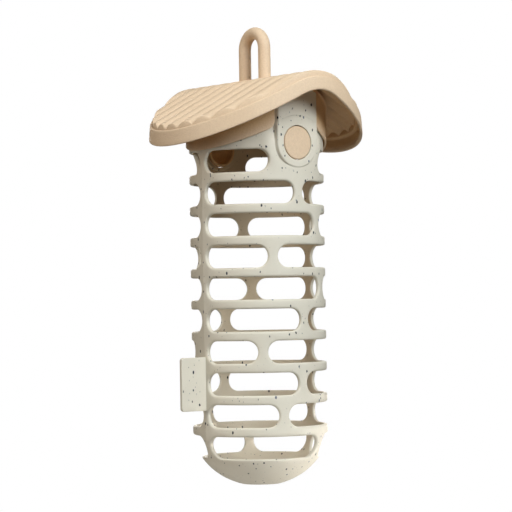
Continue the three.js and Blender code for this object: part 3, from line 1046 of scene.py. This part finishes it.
def ribTree():
    inputs = [(label, "NodeSocketFloat") for label in ("Pitch", "Height", "Roundness", "Valley")]
    tree, start, end, names = nodeTree("roofRibs", inputs + [("Finish", "NodeSocketMaterial")])
    pitch, height, roundness, valley = (start.outputs[label] for label, _ in inputs)
    place = addNode(tree, "GeometryNodeInputPosition").outputs[0]
    y = addNode(tree, "ShaderNodeSeparateXYZ", [(0, place)]).outputs["Y"]
    turns = maths(tree, "DIVIDE", y, pitch)
    phase = maths(tree, "SUBTRACT", turns, maths(tree, "ROUND", turns))
    aside = maths(tree, "MULTIPLY", maths(tree, "ABSOLUTE", phase), 2.0)
    wave = maths(tree, "SUBTRACT", 1.0, maths(tree, "POWER", aside, roundness))
    soft = maths(tree, "MULTIPLY", valley, valley)
    swept = maths(tree, "SQRT", maths(tree, "ADD", maths(tree, "MULTIPLY", wave, wave), soft))
    full = maths(tree, "SQRT", maths(tree, "ADD", soft, 1.0))
    above = maths(tree, "SUBTRACT", swept, valley)
    profile = maths(tree, "DIVIDE", above, maths(tree, "SUBTRACT", full, valley))
    rise = addNode(tree, "GeometryNodeInputNamedAttribute", [("Name", "ribRise")], data_type="FLOAT")
    lift = maths(tree, "MULTIPLY", maths(tree, "MULTIPLY", profile, rise.outputs[0]), height)
    up = addNode(tree, "ShaderNodeCombineXYZ", [("Z", lift)]).outputs[0]
    moved = addNode(tree, "GeometryNodeSetPosition", [("Geometry", start.outputs[0]), ("Offset", up)])
    closeTree(tree, start, end, moved.outputs[0])
    return tree, names


# Section of the roof's edge from the ribs' ends round the rim: radius, offset, rib share, share of painted
# shade
def rimSections():
    rim, wall, draft, hollow = roof["rimDepth"], roof["radius"], roof["rimDraft"], roof["hollowRadius"]
    bend, edge, soft = roof["lipRound"], roof["edgeRound"], roof["ledgeRound"]
    inside, ledge = wall - roof["rimWall"], rim - roof["thickness"]
    power, gutter = roof["ribEndPower"], rim - roof["gutter"]
    ends = []
    for t in quarterTurn(roof["ribEndSteps"]):
        share = (1 - sin(t) ** power) ** (1 / power)
        ends.append((mix(*roof["ribEnd"], sin(t)), mix(gutter, rim, share), share, 0.0))
    outside = list(zip(roof["lipInside"], (gutter, rim)))
    outside += quarterArc(wall - draft - bend, rim - bend, bend, 0, 1, roof["lipSteps"])
    outside += [(wall - draft * z / rim, z) for z in between(rim - bend, edge, roof["rimSteps"])[1:-1]]
    outside += quarterArc(wall - edge, edge, edge, 1, 2, roof["edgeSteps"])
    outside += quarterArc(inside + edge, edge, edge, 2, 3, roof["edgeSteps"])
    under = [(inside, ledge / 2)]
    under += quarterArc(inside - soft, ledge - soft, soft, 1, 0, roof["ledgeSteps"])
    under += quarterArc(hollow + soft, ledge + soft, soft, 2, 3, roof["ledgeSteps"])
    return ends + [(*spot, 0.0, 0.0) for spot in outside] + [(*spot, 0.0, 1.0) for spot in under]


def makeRoof(finish):
    mould = Mould()
    rim, sides = roof["rimDepth"], loop["sides"]
    holeRadius = loop["bar"] / 2 + loop["gap"]
    bossRadius = loop["bar"] / 2 + loop["bossWall"]
    spigotRadius = loop["spigot"] / 2 + loop["spigotGap"]
    topRow, topHoles = roofSheet(mould, roof["sheetRadius"], rim, holeRadius)
    # the roof's underside gets full painted shade
    mould.paintedShade = 1.0
    lowRow, lowHoles = roofSheet(mould, roof["hollowRadius"], rim - roof["thickness"], bossRadius)
    rings = [topRow]
    for radius, offset, share, paintedShade in rimSections():
        mould.paintedShade = paintedShade
        rings.append(addGabled(mould, eaveLoop(radius), offset, share))
    mould.skin(rings + [lowRow])
    for y, topHole, lowHole in zip(legs, topHoles, lowHoles):
        rings = [topHole]
        for radius in (holeRadius, spigotRadius):
            rings.append(mould.add([(*spot, seatHeight) for spot in circle(radius, sides, 0, y)]))
        for radius in (spigotRadius, bossRadius):
            rings.append(addGabled(mould, circle(radius, sides, 0, y), shellUnder - loop["bossDrop"]))
        mould.skin(rings + [lowHole])
    tree, names = ribTree()
    sizes = {"Pitch": roof["ribPitch"] * mm, "Height": roof["ribHeight"] * mm}
    sizes.update(Roundness=roof["ribPower"], Valley=roof["valleySoftness"], Finish=finish)
    plain = mould.piece("plainRoof", sharpAngle=60)
    piece = grow(plain, "ribbedRoof", tree, names, sizes, sharpAngle=55)
    dress(piece, finish, "roof_plastic", "roof", "roof_shell")


# Collar: a gabled deck under the roof with a skirt that laps over the cage and stops at the ears

collar = {
    "inside": 43.8,
    "wall": 1.2,
    "deckTop": 7.0,
    "deckBottom": 4.8,
    "edgeApex": 231.7,
    "edgeSlope": 0.45,
    "notchHalf": 16.6,
    "notchCorner": 3.0,
    "flare": 1.2,
    "flareRun": 5.0,          # distance from the notch over which the flare grows
    "padRadius": 6.2,
    "padDepth": 1.4,
    "padBevel": 0.3,
    "screwHole": 1.8,
    "paintedShade": (0.1, 1.0),  # share of the painted shade's tint, at the skirt's edge and from the next share of its height up
    "paintedShadeRise": 0.35,
    "innerBlend": 6.0,        # past the notch, where the inner points turn back to the outer points' rays
    "slack": 1e-4,            # for telling which points are on the notch's edge
    "cornerShares": (0.05, 0.2, 0.45, 0.72, 1),
    "notchSteps": 6,
    "turnSteps": 16,
    "skirtSteps": 5,
    "lipSteps": 6,
    "flareSteps": 5,
    "holeSides": 24,
    "grid": (-40, 40, 24),    # points of the deck: from, to and steps
    "gridMargin": 1.5,
    "gridClearance": 1.0,
}
padHeight = gable(0, collar["deckBottom"]) - collar["padDepth"]


def skirtEdge(x):
    corner = collar["notchCorner"]
    past = clamp(collar["notchHalf"] + corner - abs(x), 0, corner)
    return collar["edgeApex"] - collar["edgeSlope"] * abs(x) + corner - sqrt(corner ** 2 - past ** 2)


def deckSheet(mould, boundary, offset, holeRadius):
    steps = between(*collar["grid"])
    reach = collar["inside"] - collar["gridMargin"]
    spots = [(x, y) for x in steps for y in steps if hypot(x, y) < reach]
    hole = holeRadius, collar["holeSides"]
    return gabledSheet(mould, boundary, spots, collar["gridClearance"], *hole, offset)


# Places round the skirt, each as outer x and y, then inner x and y
def skirtStations():
    inside, notch = collar["inside"], collar["notchHalf"]
    outside, corner = inside + collar["wall"], notch + collar["notchCorner"]
    xs = between(0, notch, collar["notchSteps"])
    xs += [mix(notch, corner, share) for share in collar["cornerShares"]]
    quarter = [asin(x / outside) for x in xs]
    quarter += between(quarter[-1], pi / 2, collar["turnSteps"])[1:]
    half = quarter + [pi - turn for turn in reversed(quarter[:-1])]
    stations = []
    for turn in half + [turn + pi for turn in half[1:-1]]:
        x, y = outside * sin(turn), -outside * cos(turn)
        keep = clamp((corner - abs(x)) / collar["innerBlend"] + 1)
        innerX = mix(inside * sin(turn), x, keep)
        innerY = sqrt(inside ** 2 - innerX ** 2)
        stations.append((x, y, innerX, innerY if y > 0 else -innerY))
    return stations


def makeCollar(finish):
    mould = Mould()
    stations = skirtStations()
    notch, bend = collar["notchHalf"], collar["wall"] / 2
    hangs = [abs(x) > notch - collar["slack"] for x, _, _, _ in stations]

    # one row round the skirt, from the outside at side 0 to the inside at 1, gone where the ears are
    def skirtRow(side, share, dip=0.0):
        # painted shade on the skirt, deepening up towards the roof's rim
        mould.paintedShade = mix(*collar["paintedShade"], clamp(share / collar["paintedShadeRise"]))
        row = []
        for (x, y, innerX, innerY), here in zip(stations, hangs):
            z = mix(skirtEdge(x) + bend, gable(x, collar["deckBottom"]), share) - bend * dip
            spot = (mix(x, innerX, side), mix(y, innerY, side), z)
            row.append(mould.add([spot])[0] if here or share == 1 else None)
        return row

    shares = between(0, 1, collar["skirtSteps"])
    rows = [skirtRow(0, share) for share in reversed(shares)]
    rows += [skirtRow((1 - cos(t)) / 2, 0, sin(t)) for t in between(0, pi, collar["lipSteps"])[1:-1]]
    rows += [skirtRow(1, share) for share in shares[:-1]]
    boundary = [(innerX, innerY) for _, _, innerX, innerY in stations]
    deckEdge, lowHoles = deckSheet(mould, boundary, collar["deckBottom"], collar["padRadius"])
    rows.append(deckEdge)
    mould.skin(rows)
    for i, (x, _, _, _) in enumerate(stations):
        if abs(abs(x) - notch) < collar["slack"]:     # wall of the notch beside the ear
            mould.faces.append([row[i] for row in rows])
        k = (i + 1) % len(stations)
        if not (hangs[i] and hangs[k]):               # underside of the deck's edge over the ear
            mould.faces.append((rows[0][i], rows[0][k], deckEdge[k], deckEdge[i]))

    rings = [rows[0]]
    for t in quarterTurn(collar["flareSteps"])[1:]:
        flare = collar["flare"] * (1 - cos(t)) / (collar["inside"] + collar["wall"])
        grown = [1 + flare * ease((abs(x) - notch) / collar["flareRun"]) for x, _, _, _ in stations]
        boundary = [(x * size, y * size) for (x, y, _, _), size in zip(stations, grown)]
        offset = mix(collar["deckBottom"], collar["deckTop"], sin(t))
        rings.append(addGabled(mould, boundary, offset))
    topRow, topHoles = deckSheet(mould, boundary, collar["deckTop"], collar["screwHole"])
    mould.skin(rings + [topRow])
    pad, bevel, sides = collar["padRadius"], collar["padBevel"], collar["holeSides"]
    for y, topHole, lowHole in zip(legs, topHoles, lowHoles):
        rings = [lowHole]
        for radius, lift in ((pad, bevel), (pad - bevel, 0), (collar["screwHole"], 0)):
            rings.append(mould.add([(*spot, padHeight + lift) for spot in circle(radius, sides, 0, y)]))
        mould.skin(rings + [topHole])
    dress(mould.piece("roofCollar", sharpAngle=50), finish, "roof_plastic", "roof", "lid_collar")


# Push latches: a spring tongue inside the cage with the round button that fills the ear's hole

latch = {
    "tongueWidth": 20.0,
    "tongueFace": 38.85,     # distance of the tongue's outer face from the middle of the cage
    "thickness": 2.2,
    "rootOffset": 4.5,
    "edge": 0.5,
    "buttonRadius": 10.4,
    "buttonFace": 43.6,
    "buttonFillet": 0.7,
    "faceInset": 0.5,        # from the fillet to the flat middle of the face
    "cupRadius": 8.4,        # hollow behind the button
    "cupDepth": 5.0,
    "cupCorner": ((0.6, 0.0), (0.2, 0.4)),    # steps of its soft corner, in from the wall and the floor
    "cupBevel": 0.3,
    "bowSteps": 32,
    "topSteps": 10,
    "sideSteps": 9,
    "edgeSteps": 3,
    "filletSteps": 5,
}


def tongueOutline(inset):
    half = latch["tongueWidth"] / 2 - inset
    turns = between(pi, 2 * pi, latch["bowSteps"])
    bow = [(half * cos(t), buttonHeight + half * sin(t)) for t in turns]
    xs = between(half, -half, latch["topSteps"])
    top = [(x, gable(x, latch["rootOffset"]) - inset) for x in xs]
    right = [(half, z) for z in between(buttonHeight, top[0][1], latch["sideSteps"])[1:-1]]
    return bow + right + top + [(-x, z) for x, z in reversed(right)]


def makeLatch(name, turn, finish, body, node):
    mould = Mould()
    # the tongue and the cup behind the button get full painted shade
    mould.paintedShade = 1.0
    headings = [atan2(z - buttonHeight, x) for x, z in tongueOutline(0)]
    outer, inner = latch["tongueFace"], latch["tongueFace"] - latch["thickness"]
    edge, button = latch["edge"], latch["buttonRadius"]
    fillet, face = latch["buttonFillet"], latch["buttonFace"]
    rings = []

    def addRing(outline, depth):
        rings.append(mould.add([(x * turn, -depth * turn, z) for x, z in outline]))

    def addDisc(radius, depth):
        addRing([(radius * cos(a), buttonHeight + radius * sin(a)) for a in headings], depth)

    cup, floor, bevel = latch["cupRadius"], inner + latch["cupDepth"], latch["cupBevel"]
    for inset, drop in latch["cupCorner"]:
        addDisc(cup - inset, floor - drop)
    addDisc(cup, inner + bevel)
    addDisc(cup + bevel, inner)
    for inset, depth in rounding(edge, latch["edgeSteps"]):
        addRing(tongueOutline(inset), inner + depth)
    for depth, inset in rounding(edge, latch["edgeSteps"]):
        addRing(tongueOutline(inset), outer - depth)
    addDisc(button, outer)
    # the button's face gets no painted shade
    mould.paintedShade = 0.0
    for depth, inset in rounding(fillet, latch["filletSteps"]):
        addDisc(button - inset, face - depth)
    addDisc(button - fillet - latch["faceInset"], face)
    mould.skin(rings)
    mould.fan(rings[-1], (0, -face * turn, buttonHeight))
    mould.paintedShade = 1.0
    mould.fan(rings[0], (0, -floor * turn, buttonHeight))
    dress(mould.piece(name, sharpAngle=50), finish, "roof_plastic", body, node)


# Hanging loop: a bar along a path up one leg, round the arch and down the other

def loopTree():
    inputs = [("Bar Radius", "NodeSocketFloat"), ("Sides", "NodeSocketInt")]
    tree, start, end, names = nodeTree("loopBar", inputs + [("Finish", "NodeSocketMaterial")])
    links = [("Resolution", start.outputs["Sides"]), ("Radius", start.outputs["Bar Radius"])]
    section = addNode(tree, "GeometryNodeCurvePrimitiveCircle", links).outputs[0]
    thickness = addNode(tree, "GeometryNodeInputRadius").outputs[0]
    links = [("Curve", start.outputs[0]), ("Profile Curve", section)]
    links += [("Scale", thickness), ("Fill Caps", True)]
    closeTree(tree, start, end, addNode(tree, "GeometryNodeCurveToMesh", links).outputs[0])
    return tree, names


def makeLoop(finish):
    bar = loop["bar"] / 2
    archHeight = crestTop + loop["rise"] - bar - legY
    thin = loop["spigot"] / loop["bar"]
    leg = [(-legY, gable(0, shellUnder), thin), (-legY, seatHeight, thin)]
    leg.append((-legY, seatHeight + loop["seatStep"], 1.0))
    heights = between(seatHeight + loop["legStart"], archHeight, loop["legSteps"])
    leg += [(-legY, z, 1.0) for z in heights[:-1]]
    turns = between(0, pi, loop["archSteps"])
    arch = [(-legY * cos(t), archHeight + legY * sin(t), 1.0) for t in turns]
    path = leg + arch + [(-y, z, share) for y, z, share in reversed(leg)]
    data = bpy.data.curves.new("loopPath", "CURVE")
    data.dimensions = "3D"
    spline = data.splines.new("POLY")
    spline.points.add(len(path) - 1)
    for point, (y, z, share) in zip(spline.points, path):
        point.co = (0, y * mm, z * mm + footHeight, 1)
        point.radius = share
    tree, names = loopTree()
    sizes = {"Bar Radius": bar * mm, "Sides": loop["sides"], "Finish": finish}
    piece = grow(newObject("loopPath", data), "loopBar", tree, names, sizes, sharpAngle=50)
    dress(piece, finish, "roof_plastic", "roof", "hanging_loop")


# Screws: one pan-headed screw, set from below under each leg of the loop

screw = {
    "shank": 1.5,
    "length": 14.0,
    "headRadius": 3.2,
    "headHeight": 2.2,
    "headRound": 0.9,
    "socket": 1.35,
    "socketSides": 6,
    "socketDepth": 1.2,
    "socketTaper": 0.9,
    "socketBevel": (0.3, 0.1),    # width and depth
    "point": (0.4, 1.2),          # share of the shank left at the tip, and length
    "sides": 24,
    "headSteps": 5,
}


def screwTree():
    inputs = [("Screw", "NodeSocketObject"), ("Finish", "NodeSocketMaterial")]
    tree, start, end, names = nodeTree("loopScrews", inputs)
    sample = addNode(tree, "GeometryNodeObjectInfo", [("Object", start.outputs["Screw"])])
    links = [("Points", start.outputs[0]), ("Instance", sample.outputs["Geometry"])]
    closeTree(tree, start, end, addNode(tree, "GeometryNodeInstanceOnPoints", links).outputs[0])
    return tree, names


def makeScrews(finish):
    mould = Mould()
    head, height, bend = screw["headRadius"], screw["headHeight"], screw["headRound"]
    shank, length, socket = screw["shank"], screw["length"], screw["socket"]
    bevelWidth, bevelDepth = screw["socketBevel"]
    tipShare, tipLength = screw["point"]
    ground = -footHeight / mm                 # the sample stands at the origin of its own object
    rings = []

    def addRing(radius, z, sides=0):
        flat = []
        for x, y in circle(1.0, screw["sides"]):
            part = 2 * pi / sides if sides else 0
            reach = radius * cos(part / 2) / cos(atan2(y, x) % part - part / 2) if sides else radius
            flat.append((x * reach, y * reach, ground + z))
        rings.append(mould.add(flat))

    addRing(socket * screw["socketTaper"], screw["socketDepth"] - height, screw["socketSides"])
    addRing(socket, bevelDepth - height, screw["socketSides"])
    addRing(socket + bevelWidth, -height)
    for inset, depth in rounding(bend, screw["headSteps"]):
        addRing(head - inset, depth - height)
    for radius, z in ((head, 0), (shank, 0), (shank, length - tipLength), (shank * tipShare, length)):
        addRing(radius, z)
    mould.skin(rings)
    mould.fan(rings[0], (0, 0, ground + screw["socketDepth"] - height))
    mould.fan(rings[-1], (0, 0, ground + length))
    sample = mould.piece("screwSample", sharpAngle=40)
    spots = bpy.data.meshes.new("screwSpots")
    spots.from_pydata([(0, y * mm, padHeight * mm + footHeight) for y in legs], [], [])
    tree, names = screwTree()
    values = {"Screw": sample, "Finish": finish}
    piece = grow(newObject("screwSpots", spots), "loopScrews", tree, names, values, sharpAngle=40)
    bpy.data.objects.remove(sample)
    dress(piece, finish, "screw_steel", "roof", "front_loop_screw", "back_loop_screw")


placeCamera()
setWorld()
hangLamps()
layFloor()
print("camera, light and floor set")
creamFinish, sandFinish, steelFinish = creamSpeckle(), sandPlastic(), zincSteel()
makeCage(creamFinish)
makeRoof(sandFinish)
makeCollar(sandFinish)
makeLatch("frontLatch", 1, sandFinish, "front_latch", "front_push_latch")
makeLatch("backLatch", -1, sandFinish, "back_latch", "back_push_latch")
makeLoop(sandFinish)
makeScrews(steelFinish)
